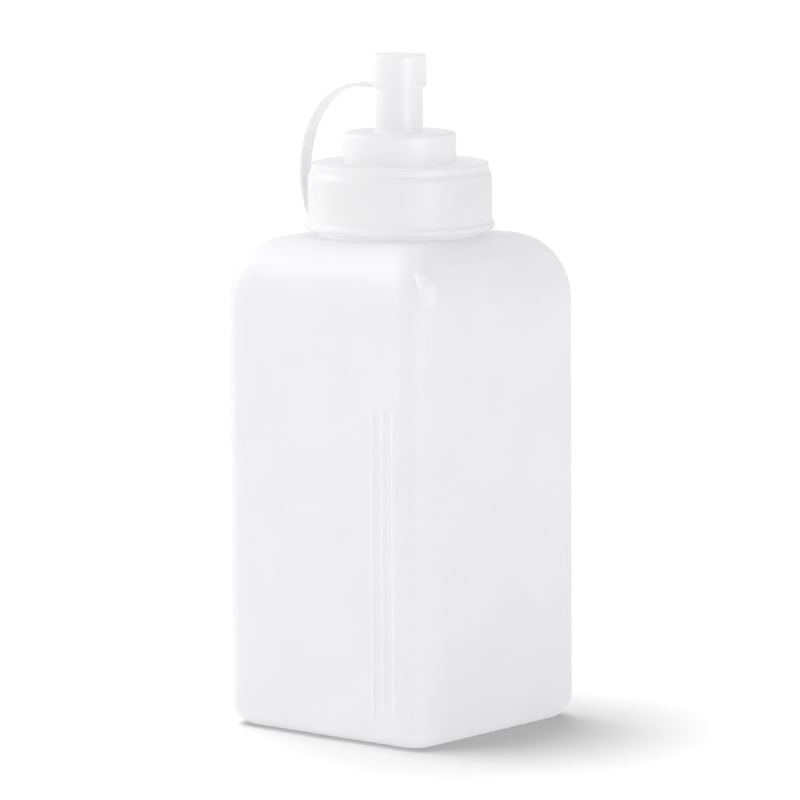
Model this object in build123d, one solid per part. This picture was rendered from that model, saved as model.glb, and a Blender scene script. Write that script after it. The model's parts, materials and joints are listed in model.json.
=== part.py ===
from build123d import *

import math
import os

# Square squeeze bottle for sauce, with a screw cap, a spout and a tip cap on a strap.
# Millimetres. +Z is up, the origin is the middle of the standing face. The face with the
# ribs looks along -Y, and the lug is on the +X side of the corner between -Y and +X.

# Bottle body
body_side = 60.0
body_height = 114.0
body_corner_radius = 6.5
body_wall = 1.2
shoulder_reach = 11.0
shoulder_drop = 15.5
shoulder_corner_radius = 4.0
base_reach = 5.0
base_rise = 5.5
base_corner_share = 0.6
blend_run = 1.5
blend_steps = 6
least_corner_radius = 0.2
base_rim_width = 5.0
base_recess_depth = 1.5

# Ribs on the front and back faces, beside one corner
rib_count = 3
rib_pitch = 3.1
rib_radius = 0.6
rib_raise = 0.5
rib_edge_distance = 7.2
rib_bottom = 7.0
rib_length = 71.0

# Lug on the shoulder beside the same corner
lug_radius = 2.7
lug_raise = 1.1
lug_length = 10.0
lug_tilt = 38.0
lug_bearing = 14.0
lug_foot_below_top = 12.0
lug_edge_round = 0.5

# Neck and its thread
neck_radius = 17.6
neck_wall = 1.6
collar_step = 0.9
collar_height = 1.8
thread_pitch = 4.2
neck_thread_turns = 1.5
neck_thread_depth = 1.1
neck_thread_root = 2.0
thread_crest = 0.9
thread_sink = 0.3

# Screw cap
cap_gap = 1.5
cap_height = 15.2
cap_top_wall = 1.6
cap_wall = 1.85
cap_band_step = 0.75
cap_band_height = 1.7
cap_slope_height = 1.4
cap_edge_round = 0.5
cap_bead_step = 0.75
cap_bead_height = 1.8
cap_thread_turns = 1.25
cap_thread_root = 2.2
snap_bead_height = 0.8

# Spout, held under the screw cap
flange_thickness = 1.2
flange_overlap = 0.6
plug_length = 5.0
plug_wall = 1.2
tier_radius = 13.1
tier_height = 7.0
tier_wall = 1.2
tier_edge_round = 0.9
tube_foot_radius = 5.55
tube_top_radius = 5.4
tube_height = 9.8
tube_wall = 1.2
foot_round = 0.6
cone_ledge = 0.8
cone_height = 6.6
cone_tip_radius = 2.4
orifice_radius = 1.5
orifice_length = 3.0

# Tip cap
tip_cap_wall = 0.85
tip_cap_top_wall = 1.0
tip_cap_draft = 0.1
tip_cap_edge_round = 0.6
tip_cap_chamfer = 0.5

# Strap, one flexible band drawn as rigid links that turn on each other
strap_bearing = 13.0
strap_width = 4.8
strap_thickness = 0.8
strap_links = 3
strap_tab = 3.7
strap_bulge = 2.6
strap_widest_below_top = 3.2
strap_root_angle = 25.0
strap_root_height = 1.3

# Clearances
thread_side_clearance = 0.3
thread_crest_clearance = 0.4
thread_root_clearance = 0.7
collar_clearance = 0.4
spout_clearance = 0.3
plug_clearance = 0.2
snap_clearance = 0.3
rim_clearance = 0.4
tip_clearance = 0.5
knuckle_clearance = 0.2

# Levels and radii that follow from the sizes above
collar_radius = neck_radius + collar_step
collar_top = body_height + collar_height
cap_bottom = body_height + cap_gap
cap_top = cap_bottom + cap_height
cap_ceiling = cap_top - cap_top_wall
neck_top = cap_ceiling - flange_thickness
neck_bore_radius = neck_radius - neck_wall
cap_bore_radius = neck_radius + neck_thread_depth + thread_root_clearance
cap_radius = cap_bore_radius + cap_wall
cap_band_radius = cap_radius - cap_band_step
cap_bead_radius = cap_radius + cap_bead_step
cap_thread_depth = cap_bore_radius - neck_radius - thread_crest_clearance
thread_drop = (neck_thread_root + cap_thread_root + 2 * thread_crest) / 4 + thread_side_clearance
cap_thread_start = collar_top + collar_clearance + cap_thread_root / 2
neck_thread_start = cap_thread_start + thread_drop
snap_radius = neck_radius + rim_clearance
flange_radius = snap_radius + flange_overlap
snap_top = neck_top - snap_clearance
tier_top = cap_ceiling + tier_height + cap_top_wall
tube_top = tier_top + tube_height
cone_base_radius = tube_top_radius - cone_ledge
cone_top = tube_top + cone_height
tip_cap_bottom = tube_top + rim_clearance
tip_cap_bore_radius = tube_top_radius + tip_cap_draft
tip_cap_radius = tip_cap_bore_radius + tip_cap_wall
tip_cap_ceiling = cone_top + tip_clearance
tip_cap_top = tip_cap_ceiling + tip_cap_top_wall
strap_start = tip_cap_radius + strap_tab
strap_reach = cap_bead_radius + strap_bulge
strap_top = tip_cap_bottom + strap_thickness / 2
strap_widest = cap_top - strap_widest_below_top


def rounded_square(half_side, corner_radius, level):
    """Plan section of the body at one level."""
    corner = max(corner_radius, least_corner_radius)
    return Plane.XY.offset(level) * RectangleRounded(2 * half_side, 2 * half_side, corner)


def body_form(inset):
    """Solid body with every outer surface drawn in by the inset."""
    half_side = body_side / 2 - inset
    corner = body_corner_radius - inset
    top_corner = shoulder_corner_radius - inset
    reach = shoulder_reach - inset
    drop = shoulder_drop - inset
    low_reach = base_reach - inset
    low_rise = base_rise - inset
    shoulder_start = body_height - shoulder_drop

    shoulder = [rounded_square(half_side, corner, shoulder_start - blend_run)]
    for step in range(blend_steps + 1):
        turn = math.radians(90 * step / blend_steps)
        come_in = 1 - math.cos(turn)
        section_corner = corner + (top_corner - corner) * come_in
        level = shoulder_start + drop * math.sin(turn)
        shoulder.append(rounded_square(half_side - reach * come_in, section_corner, level))

    base = [rounded_square(half_side, corner, base_rise + blend_run)]
    for step in range(blend_steps + 1):
        turn = math.radians(90 * step / blend_steps)
        come_in = low_reach * (1 - math.cos(turn))
        level = base_rise - low_rise * math.sin(turn)
        base.append(rounded_square(half_side - come_in, corner - base_corner_share * come_in, level))

    wall_height = shoulder_start - base_rise - 2 * blend_run
    walls = extrude(rounded_square(half_side, corner, base_rise + blend_run), amount=wall_height)
    return walls + loft(shoulder) + loft(base)


def ribs():
    """Upright half-round ribs on the front face, and the same turned half round on the back face."""
    bars = []
    depth = body_side / 2 + rib_raise - rib_radius
    for index in range(rib_count):
        across = body_side / 2 - rib_edge_distance - index * rib_pitch
        foot = Pos(across, -depth, rib_bottom + rib_radius)
        straight = rib_length - 2 * rib_radius
        bar = foot * Cylinder(rib_radius, straight, align=(Align.CENTER, Align.CENTER, Align.MIN))
        bar += foot * Sphere(rib_radius)
        bar += foot * Pos(0, 0, straight) * Sphere(rib_radius)
        bars.append(bar)
        bars.append(Rot(0, 0, 180) * bar)
    return bars


def lugs():
    """Half-round bars beside two opposite corners, proud at the foot and running out up the shoulder."""
    corner_middle = body_side / 2 - body_corner_radius
    bar = Cylinder(lug_radius, lug_length, align=(Align.CENTER, Align.CENTER, Align.MIN))
    bar = fillet(bar.edges().group_by(Axis.Z)[0], lug_edge_round)
    foot_distance = body_corner_radius + lug_raise - lug_radius
    bar = Rot(0, 0, -lug_bearing) * Pos(foot_distance, 0, 0) * Rot(0, -lug_tilt, 0) * bar
    bar = Pos(corner_middle, -corner_middle, body_height - lug_foot_below_top) * bar
    return [bar, Rot(0, 0, 180) * bar]


def thread(radius, depth, root_width, turns, start, outward):
    """One trapezoid ridge along a right-hand helix, sunk a little into its wall."""
    direction = 1 if outward else -1
    path = Pos(0, 0, start) * Helix(thread_pitch, thread_pitch * turns, radius)
    section_plane = Plane(origin=path @ 0, x_dir=(direction, 0, 0), z_dir=path % 0)
    slope = (root_width - thread_crest) / 2 / depth
    sunk_half = root_width / 2 + slope * thread_sink
    section = section_plane * Polygon(
        (-thread_sink, -sunk_half),
        (depth, -thread_crest / 2),
        (depth, thread_crest / 2),
        (-thread_sink, sunk_half),
        align=None,
    )
    return sweep(section, path=path, is_frenet=True)


def bottle():
    """Blow-moulded body, hollow, with a recessed base, collar, neck and outside thread."""
    recess_half = body_side / 2 - base_reach - base_rim_width
    recess = extrude(rounded_square(recess_half, body_corner_radius, 0), amount=base_recess_depth)
    push_up = extrude(
        rounded_square(recess_half + body_wall, body_corner_radius + body_wall, 0),
        amount=base_recess_depth + body_wall,
    )
    cavity = body_form(body_wall) - push_up
    neck_foot = body_height - body_wall
    neck = Pos(0, 0, neck_foot) * Cylinder(
        neck_radius, neck_top - neck_foot, align=(Align.CENTER, Align.CENTER, Align.MIN)
    )
    collar = Pos(0, 0, neck_foot) * Cylinder(
        collar_radius, collar_top - neck_foot, align=(Align.CENTER, Align.CENTER, Align.MIN)
    )
    bore = Pos(0, 0, body_height - shoulder_drop) * Cylinder(
        neck_bore_radius, body_side, align=(Align.CENTER, Align.CENTER, Align.MIN)
    )
    outside = body_form(0) + collar + neck
    for piece in ribs() + lugs():
        outside += piece
    outside += thread(
        neck_radius, neck_thread_depth, neck_thread_root, neck_thread_turns, neck_thread_start, True
    )
    return outside - recess - cavity - bore


def turned(points):
    """Solid of revolution about the upright axis from a closed outline of radius and height."""
    outline = make_face(Polyline(*points, close=True))
    return revolve(Plane.XZ * outline, axis=Axis.Z)


def screw_cap():
    """Skirt with an inside thread, a bottom bead, a snap bead for the spout and the strap's root."""
    bead_top = cap_bottom + cap_bead_height
    band_bottom = cap_top - cap_band_height
    slope_bottom = band_bottom - cap_slope_height
    hole_radius = tier_radius + spout_clearance
    snap_bottom = snap_top - snap_bead_height
    shell = turned([
        (hole_radius, cap_ceiling),
        (hole_radius, cap_top),
        (cap_band_radius - cap_edge_round, cap_top),
        (cap_band_radius, cap_top - cap_edge_round),
        (cap_band_radius, band_bottom),
        (cap_radius, slope_bottom),
        (cap_radius, bead_top),
        (cap_bead_radius, bead_top - cap_bead_step),
        (cap_bead_radius, cap_bottom + cap_edge_round),
        (cap_bead_radius - cap_edge_round, cap_bottom),
        (cap_bore_radius, cap_bottom),
        (cap_bore_radius, snap_bottom - (cap_bore_radius - snap_radius)),
        (snap_radius, snap_bottom),
        (snap_radius, snap_top),
        (cap_bore_radius, snap_top),
        (cap_bore_radius, cap_ceiling),
    ])
    shell += thread(
        cap_bore_radius, cap_thread_depth, cap_thread_root, cap_thread_turns, cap_thread_start, False
    )
    root_near = cap_bore_radius + cap_wall / 2
    root_point = strap_point(-strap_root_bottom_angle())
    root = strap_solid([
        (root_near, cap_bottom),
        (root_point[0] + strap_thickness / 2, cap_bottom),
        (root_point[0] + strap_thickness / 2, cap_bottom + strap_root_height),
        (root_near, cap_bottom + strap_root_height),
    ])
    stub = strap_band(-strap_root_bottom_angle(), -strap_root_angle, has_cup=False)
    return shell + root + stub


def spout():
    """Plug, flange, wide lower tier, tube and cone, open right through."""
    plug_radius = neck_bore_radius - plug_clearance
    plug_bore = plug_radius - plug_wall
    tier_bore = tier_radius - tier_wall
    tube_bore = tube_top_radius - tube_wall
    corner = tier_edge_round * (1 - math.sqrt(0.5))
    outer = [
        (plug_radius, neck_top - plug_length),
        (plug_radius, neck_top),
        (flange_radius, neck_top),
        (flange_radius, cap_ceiling),
        (tier_radius, cap_ceiling),
        (tier_radius, tier_top - tier_edge_round),
        (tier_radius - corner, tier_top - corner),
        (tier_radius - tier_edge_round, tier_top),
        (tube_foot_radius + foot_round, tier_top),
        (tube_foot_radius, tier_top + foot_round),
        (tube_top_radius, tube_top),
        (cone_base_radius, tube_top),
        (cone_tip_radius, cone_top),
    ]
    inner = [
        (orifice_radius, cone_top),
        (orifice_radius, cone_top - orifice_length),
        (tube_bore, tube_top - tube_wall),
        (tube_bore, tier_top - tier_wall),
        (tier_bore, tier_top - tier_wall),
        (tier_bore, neck_top),
        (plug_bore, neck_top),
        (plug_bore, neck_top - plug_length),
    ]
    return turned(outer + inner)


def tip_cap():
    """Small closed cap over the cone, with the tab that carries the strap."""
    top_radius = tip_cap_radius - tip_cap_draft
    corner = tip_cap_edge_round * (1 - math.sqrt(0.5))
    shell = turned([
        (0, tip_cap_top),
        (top_radius - tip_cap_edge_round, tip_cap_top),
        (top_radius - corner, tip_cap_top - corner),
        (top_radius, tip_cap_top - tip_cap_edge_round),
        (tip_cap_radius, tip_cap_bottom + tip_cap_chamfer),
        (tip_cap_radius - tip_cap_chamfer / 2, tip_cap_bottom),
        (tip_cap_bore_radius, tip_cap_bottom),
        (tip_cap_bore_radius, tip_cap_ceiling),
        (0, tip_cap_ceiling),
    ])
    half = strap_thickness / 2
    near = tip_cap_bore_radius + tip_cap_wall / 2
    tab = strap_solid([
        (near, strap_top - half),
        (strap_start - half - knuckle_clearance, strap_top - half),
        (strap_start - half - knuckle_clearance, strap_top + half),
        (near, strap_top + half),
    ])
    tab -= knuckle(strap_point(90), half + knuckle_clearance)
    return shell + tab


def strap_plane():
    """Upright plane of the strap: x runs outward from the axis, y is up."""
    bearing = math.radians(strap_bearing)
    outward = (-math.cos(bearing), -math.sin(bearing), 0)
    across = (-math.sin(bearing), math.cos(bearing), 0)
    return Plane(origin=(0, 0, 0), x_dir=outward, z_dir=across)


def strap_point(angle):
    """Middle line of the closed strap: an ellipse quarter and a little more, by its own angle."""
    turn = math.radians(angle)
    wide = strap_reach - strap_start
    tall = strap_top - strap_widest
    return (strap_start + wide * math.cos(turn), strap_widest + tall * math.sin(turn))


def strap_normal(angle):
    """Outward unit normal of the strap's middle line."""
    turn = math.radians(angle)
    wide = strap_reach - strap_start
    tall = strap_top - strap_widest
    along, up = math.cos(turn) / wide, math.sin(turn) / tall
    length = math.hypot(along, up)
    return (along / length, up / length)


def strap_root_bottom_angle():
    """Angle below level at which the strap meets the top of its root on the cap's bead."""
    tall = strap_top - strap_widest
    return math.degrees(math.asin((strap_widest - cap_bottom - strap_root_height / 2) / tall))


def strap_stations():
    """Angles of the strap's turning lines, at even distances from the root to the tip cap's tab."""
    fine = 400
    span = 90 + strap_root_angle
    angles = [-strap_root_angle + span * step / fine for step in range(fine + 1)]
    run = [0.0]
    for before, after in zip(angles, angles[1:]):
        run.append(run[-1] + math.dist(strap_point(before), strap_point(after)))
    stations = []
    for index in range(strap_links + 1):
        target = run[-1] * index / strap_links
        nearest = min(range(fine + 1), key=lambda place: abs(run[place] - target))
        stations.append(angles[nearest])
    return stations


def strap_solid(points):
    """Block of the strap's width from an outline in the strap's plane."""
    outline = strap_plane() * make_face(Polyline(*points, close=True))
    return extrude(outline, amount=strap_width / 2, both=True)


def knuckle(centre, radius):
    """Round bar across the strap."""
    disc = strap_plane() * Pos(centre[0], centre[1]) * Circle(radius)
    return extrude(disc, amount=strap_width / 2, both=True)


def strap_band(low_angle, high_angle, has_cup):
    """Curved length of strap between two angles, with a round high end and, if asked, a hollow low end."""
    half = strap_thickness / 2
    middle_angle = (low_angle + high_angle) / 2
    sides = []
    for sign in (1, -1):
        places = []
        for angle in (low_angle, middle_angle, high_angle):
            point, normal = strap_point(angle), strap_normal(angle)
            places.append((point[0] + sign * half * normal[0], point[1] + sign * half * normal[1]))
        sides.append(places)
    outline = [
        ThreePointArc(*sides[0]),
        Line(sides[0][2], sides[1][2]),
        ThreePointArc(*sides[1]),
        Line(sides[1][0], sides[0][0]),
    ]
    band = extrude(strap_plane() * make_face(outline), amount=strap_width / 2, both=True)
    band += knuckle(strap_point(high_angle), half)
    if has_cup:
        band -= knuckle(strap_point(low_angle), half + knuckle_clearance)
    return band


def strap_link(index):
    """One rigid link of the strap, counted from the screw cap."""
    stations = strap_stations()
    return strap_band(stations[index], stations[index + 1], has_cup=True)


def main():
    """Builds each piece and writes it to its own file."""
    pieces = {
        "bottle": bottle(),
        "spout": spout(),
        "screw_cap": screw_cap(),
        "tip_cap": tip_cap(),
    }
    for index in range(strap_links):
        pieces[f"strap_link_{index + 1}"] = strap_link(index)
    os.makedirs("parts", exist_ok=True)
    for name, shape in pieces.items():
        shape.label = name
        export_step(shape, f"parts/{name}.step")
    for index, angle in enumerate(strap_stations()):
        print("strap turning line", index + 1, [round(value, 3) for value in strap_point(angle)])


main()
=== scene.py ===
"""Looks of a square squeeze bottle for sauce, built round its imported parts.

Sizes are in millimetres and meshes are written in metres. +Z is up, the ribbed face of the
bottle looks along -Y, and the neck stands on the Z axis.
"""

import json
import logging
import math
from dataclasses import dataclass, replace
from enum import Enum
from typing import Sequence

import bmesh
import bpy
import numpy as np
from mathutils import Matrix, Vector


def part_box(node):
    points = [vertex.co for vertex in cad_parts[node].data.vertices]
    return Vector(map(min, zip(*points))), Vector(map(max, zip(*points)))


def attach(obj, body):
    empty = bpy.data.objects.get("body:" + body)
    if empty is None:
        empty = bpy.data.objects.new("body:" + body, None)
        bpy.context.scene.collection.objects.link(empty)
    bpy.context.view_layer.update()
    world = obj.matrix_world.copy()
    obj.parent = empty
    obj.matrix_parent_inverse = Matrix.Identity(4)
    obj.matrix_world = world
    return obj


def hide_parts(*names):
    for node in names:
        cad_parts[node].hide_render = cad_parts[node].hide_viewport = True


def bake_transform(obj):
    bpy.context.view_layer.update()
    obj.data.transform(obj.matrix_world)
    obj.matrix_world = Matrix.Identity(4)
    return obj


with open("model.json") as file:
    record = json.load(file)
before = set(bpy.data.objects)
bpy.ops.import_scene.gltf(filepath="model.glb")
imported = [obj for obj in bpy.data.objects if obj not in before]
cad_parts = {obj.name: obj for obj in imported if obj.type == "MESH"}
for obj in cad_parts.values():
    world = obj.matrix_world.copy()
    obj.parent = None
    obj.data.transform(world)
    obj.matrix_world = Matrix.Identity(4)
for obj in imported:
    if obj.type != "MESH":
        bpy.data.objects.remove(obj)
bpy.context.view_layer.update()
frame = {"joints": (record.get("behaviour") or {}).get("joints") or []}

MM = 0.001
# Mesh attribute of thick plastic on the ribs and lugs; the material shows it lighter, partly as milkier
# thick plastic and partly as a painted highlight
STOUT_HIGHLIGHT = "stout_highlight"
LOG = logging.getLogger("sauce_bottle")

# What an input of a node takes
Value = bpy.types.NodeSocket | float | Sequence[float]


class Slot(Enum):
    """Material slots that the record names."""

    BOTTLE = "bottle_plastic"
    SPOUT = "spout_plastic"
    CAP = "cap_plastic"
    STRAP = "strap_plastic"


class Ends(Enum):
    """Ways in which a skin of rings is closed."""

    LOOP = "the last ring joins the first"
    POLES = "a point closes each end"
    CAPS = "one face closes each end"


# Small helpers for shapes


def smooth(value: np.ndarray) -> np.ndarray:
    """Eases a ramp from 0 to 1 at both of its ends."""
    held = np.clip(value, 0.0, 1.0)
    return held * held * (3.0 - 2.0 * held)


def soft_above(value: np.ndarray, blend: float = 0.1) -> np.ndarray:
    """Keeps what is above zero and rounds the change, whose tail is taken down to just below it."""
    tail = 0.02 * blend
    return 0.5 * (value + np.sqrt(value * value + blend * blend)) - tail


def lowest(node: str) -> float:
    """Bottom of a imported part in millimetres."""
    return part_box(node)[0].z / MM


def highest(node: str) -> float:
    """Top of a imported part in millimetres."""
    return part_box(node)[1].z / MM


def put_in_scene(name: str, data: bpy.types.ID) -> bpy.types.Object:
    """Makes an object of a mesh, lamp or camera and links it to the scene."""
    made = bpy.data.objects.new(name, data)
    bpy.context.scene.collection.objects.link(made)
    return made


def skin(name: str, rings: np.ndarray, ends: Ends, crease_angle: float = 50.0,
         stout_highlight: np.ndarray | None = None) -> bpy.types.Object:
    """Makes one closed mesh object from rings of points.

    Args:
        name: Name of the piece.
        rings: Millimetres, as ring by column by axis. With poles, the first and the last ring
            are single points repeated.
        ends: How the ends are closed.
        crease_angle: Edges that turn by more than this many degrees are kept crisp.
        stout_highlight: From 0 to 1 for each point, how much thicker the plastic is there; the material
            shows it lighter, partly as milkier plastic and partly as a painted highlight.

    Returns:
        The object, linked to the scene.
    """
    count, columns = rings.shape[:2]
    numbers = np.arange(count * columns).reshape(count, columns)
    if ends is Ends.POLES:
        numbers[0, :] = numbers[0, 0]
        numbers[-1, :] = numbers[-1, 0]
    faces = []
    pairs = count if ends is Ends.LOOP else count - 1
    for index in range(pairs):
        low, high = numbers[index], numbers[(index + 1) % count]
        for column in range(columns):
            after = (column + 1) % columns
            corners = (low[column], low[after], high[after], high[column])
            faces.append(tuple(dict.fromkeys(int(corner) for corner in corners)))
    if ends is Ends.CAPS:
        faces += [tuple(int(number) for number in numbers[end]) for end in (0, -1)]
    mesh = bpy.data.meshes.new(name)
    mesh.from_pydata((rings.reshape(-1, 3) * MM).tolist(), [], faces)
    if stout_highlight is not None:
        mesh.attributes.new(STOUT_HIGHLIGHT, "FLOAT", "POINT").data.foreach_set("value", stout_highlight.reshape(-1))
    work = bmesh.new()
    work.from_mesh(mesh)
    loose = [point for point in work.verts if not point.link_faces]
    bmesh.ops.delete(work, geom=loose, context="VERTS")
    bmesh.ops.recalc_face_normals(work, faces=work.faces)
    work.to_mesh(mesh)
    work.free()
    mesh.shade_smooth()
    mesh.set_sharp_from_angle(angle=math.radians(crease_angle))
    return put_in_scene(name, mesh)


@dataclass(frozen=True)
class Corner:
    """Corner of a turned outline, with the radius of the arc that rounds it."""

    radius: float
    height: float
    round: float = 0.12


@dataclass(frozen=True)
class Outline:
    """Outline that is turned about the upright axis.

    Attributes:
        corners: Corners in order.
        closed: Whether the last corner joins the first.
    """

    corners: Sequence[Corner]
    closed: bool = True

    # Steps round a fine and a wide arc, length of the leads, and share of a side that an arc takes
    FINE_ROUND = 0.25
    FINE_STEPS = 3
    WIDE_STEPS = 7
    LEAD = 1.3
    SHARE = 0.38

    def points(self) -> np.ndarray:
        """Rounds each corner, and gives rows of radius and height."""
        places = [np.array((corner.radius, corner.height)) for corner in self.corners]
        last = len(places) - 1
        found: list[np.ndarray] = []
        for index, (here, corner) in enumerate(zip(places, self.corners)):
            if not self.closed and index in (0, last):
                found.append(here)
                continue
            after = places[0] if index == last else places[index + 1]
            found.extend(self.arc(places[index - 1], here, after, corner.round))
        return np.array(found)

    def arc(self, before: np.ndarray, here: np.ndarray, after: np.ndarray,
            radius: float) -> list[np.ndarray]:
        """Points round one corner, with a short straight lead on each side of the arc.

        Args:
            before: The corner before.
            here: The corner itself.
            after: The corner after.
            radius: Wanted radius, which the shorter neighbour limits.

        Returns:
            The points.
        """
        back, ahead = before - here, after - here
        room = self.SHARE * min(np.linalg.norm(back), np.linalg.norm(ahead))
        back, ahead = back / np.linalg.norm(back), ahead / np.linalg.norm(ahead)
        half = math.acos(float(np.clip(back @ ahead, -1.0, 1.0))) / 2
        reach = min(radius / math.tan(half), room)
        true_radius = reach * math.tan(half)
        middle = (back + ahead) / np.linalg.norm(back + ahead)
        centre = here + middle * true_radius / math.sin(half)
        start = here + back * reach - centre
        first = math.atan2(start[1], start[0])
        turned = math.pi - 2 * half
        if back[0] * ahead[1] - back[1] * ahead[0] > 0:
            turned = -turned
        steps = self.FINE_STEPS if radius <= self.FINE_ROUND else self.WIDE_STEPS
        found = [here + back * reach * self.LEAD]
        for step in range(steps + 1):
            angle = first + turned * step / steps
            found.append(centre + true_radius * np.array((math.cos(angle), math.sin(angle))))
        found.append(here + ahead * reach * self.LEAD)
        return found


def turned_rings(points: np.ndarray, columns: int) -> np.ndarray:
    """Turns rows of radius and height about the upright axis.

    Args:
        points: Rows of radius and height.
        columns: Number of points round each ring.

    Returns:
        Rings of points in millimetres.
    """
    angles = np.linspace(0.0, 2 * math.pi, columns, endpoint=False)
    rings = np.zeros((len(points), columns, 3))
    rings[:, :, 0] = points[:, :1] * np.cos(angles)
    rings[:, :, 1] = points[:, :1] * np.sin(angles)
    rings[:, :, 2] = points[:, 1:]
    return rings


@dataclass(frozen=True)
class Thread:
    """Right-hand screw thread that rises from its start over a number of turns."""

    start: float
    turns: float
    depth: float
    root: float
    crest: float = 0.9
    pitch: float = 4.2
    run_out: float = 24.0
    ring_step: float = 0.2

    def levels(self, low: float, high: float) -> np.ndarray:
        """Heights of the rings that carry the thread, from low up to its end or to high."""
        top = self.start + self.turns * self.pitch + self.root
        return np.arange(low, min(top, high), self.ring_step)

    def proud(self, rings: np.ndarray) -> np.ndarray:
        """How far the thread stands off its wall at each point.

        Args:
            rings: Points on the wall.

        Returns:
            Heights in millimetres, as ring by column.
        """
        around = np.mod(np.arctan2(rings[:, :, 1], rings[:, :, 0]), 2 * math.pi)
        found = np.zeros(around.shape)
        whole = 2 * math.pi * self.turns
        fade = math.radians(self.run_out)
        for lap in range(math.ceil(self.turns)):
            travel = around + 2 * math.pi * lap
            middle = self.start + self.pitch * travel / (2 * math.pi)
            away = np.abs(rings[:, :, 2] - middle)
            flank = smooth((self.root / 2 - away) / ((self.root - self.crest) / 2))
            ends = smooth(travel / fade) * smooth((whole - travel) / fade)
            found = np.maximum(found, self.depth * flank * ends)
        return found


def push_out(rings: np.ndarray, amount: np.ndarray) -> None:
    """Moves points away from the upright axis by an amount each."""
    least_radius = 1e-6
    radius = np.hypot(rings[:, :, 0], rings[:, :, 1])
    grown = (radius + amount) / np.maximum(radius, least_radius)
    rings[:, :, :2] *= grown[:, :, None]


# Finishes


class Mixed(Enum):
    """What a node can mix: its type and settings, its inputs in order, and its output."""

    NUMBER = ("ShaderNodeMix", {"data_type": "FLOAT"}, (0, 2, 3), 0)
    COLOUR = ("ShaderNodeMix", {"data_type": "RGBA"}, (0, 6, 7), 2)
    SHADER = ("ShaderNodeMixShader", {}, (0, 1, 2), 0)


def grey(level: float) -> tuple[float, ...]:
    """Colour without a tint, as a colour socket takes it."""
    return (level, level, level, 1.0)


class NodeTree:
    """Short way to place nodes in a tree and join them."""

    COLUMN = 190.0

    def __init__(self, tree: bpy.types.NodeTree) -> None:
        """Keeps the tree that nodes go into."""
        self.tree = tree
        self.placed = 0

    def add(self, kind: str, inputs: dict[str | int, Value] | None = None,
            **settings: object) -> bpy.types.Node:
        """Adds one node.

        Args:
            kind: Blender's name of the node type.
            inputs: For a name or number of an input, the socket or the value that it takes.
            **settings: Properties of the node.

        Returns:
            The node.
        """
        made = self.tree.nodes.new(kind)
        made.location = (self.COLUMN * self.placed, 0.0)
        self.placed += 1
        for name, value in settings.items():
            setattr(made, name, value)
        for name, value in (inputs or {}).items():
            self.put(made.inputs[name], value)
        return made

    def put(self, target: bpy.types.NodeSocket, value: Value) -> None:
        """Joins a socket to an input, or gives the input a value of its own."""
        if isinstance(value, bpy.types.NodeSocket):
            self.tree.links.new(value, target)
        else:
            target.default_value = value

    def math(self, operation: str, first: Value, second: Value) -> bpy.types.NodeSocket:
        """Adds a node that works out one number from two, and gives its output."""
        return self.add("ShaderNodeMath", {0: first, 1: second}, operation=operation).outputs[0]

    def mix(self, kind: Mixed, share: Value, first: Value, second: Value) -> bpy.types.NodeSocket:
        """Adds a node that mixes two things.

        Args:
            kind: What is mixed.
            share: Share of the second one, from 0 to 1.
            first: A socket or a value.
            second: Likewise.

        Returns:
            The node's output.
        """
        node_type, settings, places, result = kind.value
        inputs = dict(zip(places, (share, first, second)))
        return self.add(node_type, inputs, **settings).outputs[result]

    def noise(self, place: Value, scale: Value, detail: float,
              roughness: float = 0.5) -> bpy.types.NodeSocket:
        """Adds a noise pattern and gives its value."""
        inputs = {"Vector": place, "Scale": scale, "Detail": detail, "Roughness": roughness}
        return self.add("ShaderNodeTexNoise", inputs).outputs["Fac"]

    def spread(self, value: Value, low: float, high: float) -> bpy.types.NodeSocket:
        """Adds a node that spreads the stretch from low to high over 0 to 1."""
        inputs = {"Value": value, "From Min": low, "From Max": high}
        return self.add("ShaderNodeMapRange", inputs).outputs["Result"]

    def place(self, kind: str) -> bpy.types.NodeSocket:
        """Adds texture coordinates and gives one kind of them."""
        return self.add("ShaderNodeTexCoord").outputs[kind]


class Effect:
    """Shader node group with named inputs and outputs, built the first time it is asked for."""

    NAME = ""
    INPUTS: dict[str, tuple[str, object]] = {}
    OUTPUTS: dict[str, str] = {}

    @classmethod
    def group(cls) -> bpy.types.NodeTree:
        """Gives the group, and builds it if it isn't there yet."""
        found = bpy.data.node_groups.get(cls.NAME)
        if found is None:
            found = bpy.data.node_groups.new(cls.NAME, "ShaderNodeTree")
            for name, (kind, value) in cls.INPUTS.items():
                socket = found.interface.new_socket(name, in_out="INPUT", socket_type=kind)
                socket.default_value = value
            for name, kind in cls.OUTPUTS.items():
                found.interface.new_socket(name, in_out="OUTPUT", socket_type=kind)
            nodes = NodeTree(found)
            results = cls.fill(nodes, nodes.add("NodeGroupInput").outputs)
            nodes.add("NodeGroupOutput", results)
        return found

    @classmethod
    def fill(cls, nodes: NodeTree, given: bpy.types.bpy_prop_collection) -> dict[str, Value]:
        """Places the nodes inside the group and gives what each of its outputs takes."""
        raise NotImplementedError

    @classmethod
    def place(cls, nodes: NodeTree, inputs: dict[str, Value]) -> bpy.types.bpy_prop_collection:
        """Places the group in a material with some inputs of its own, and gives its outputs."""
        return nodes.add("ShaderNodeGroup", inputs, node_tree=cls.group()).outputs


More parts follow.
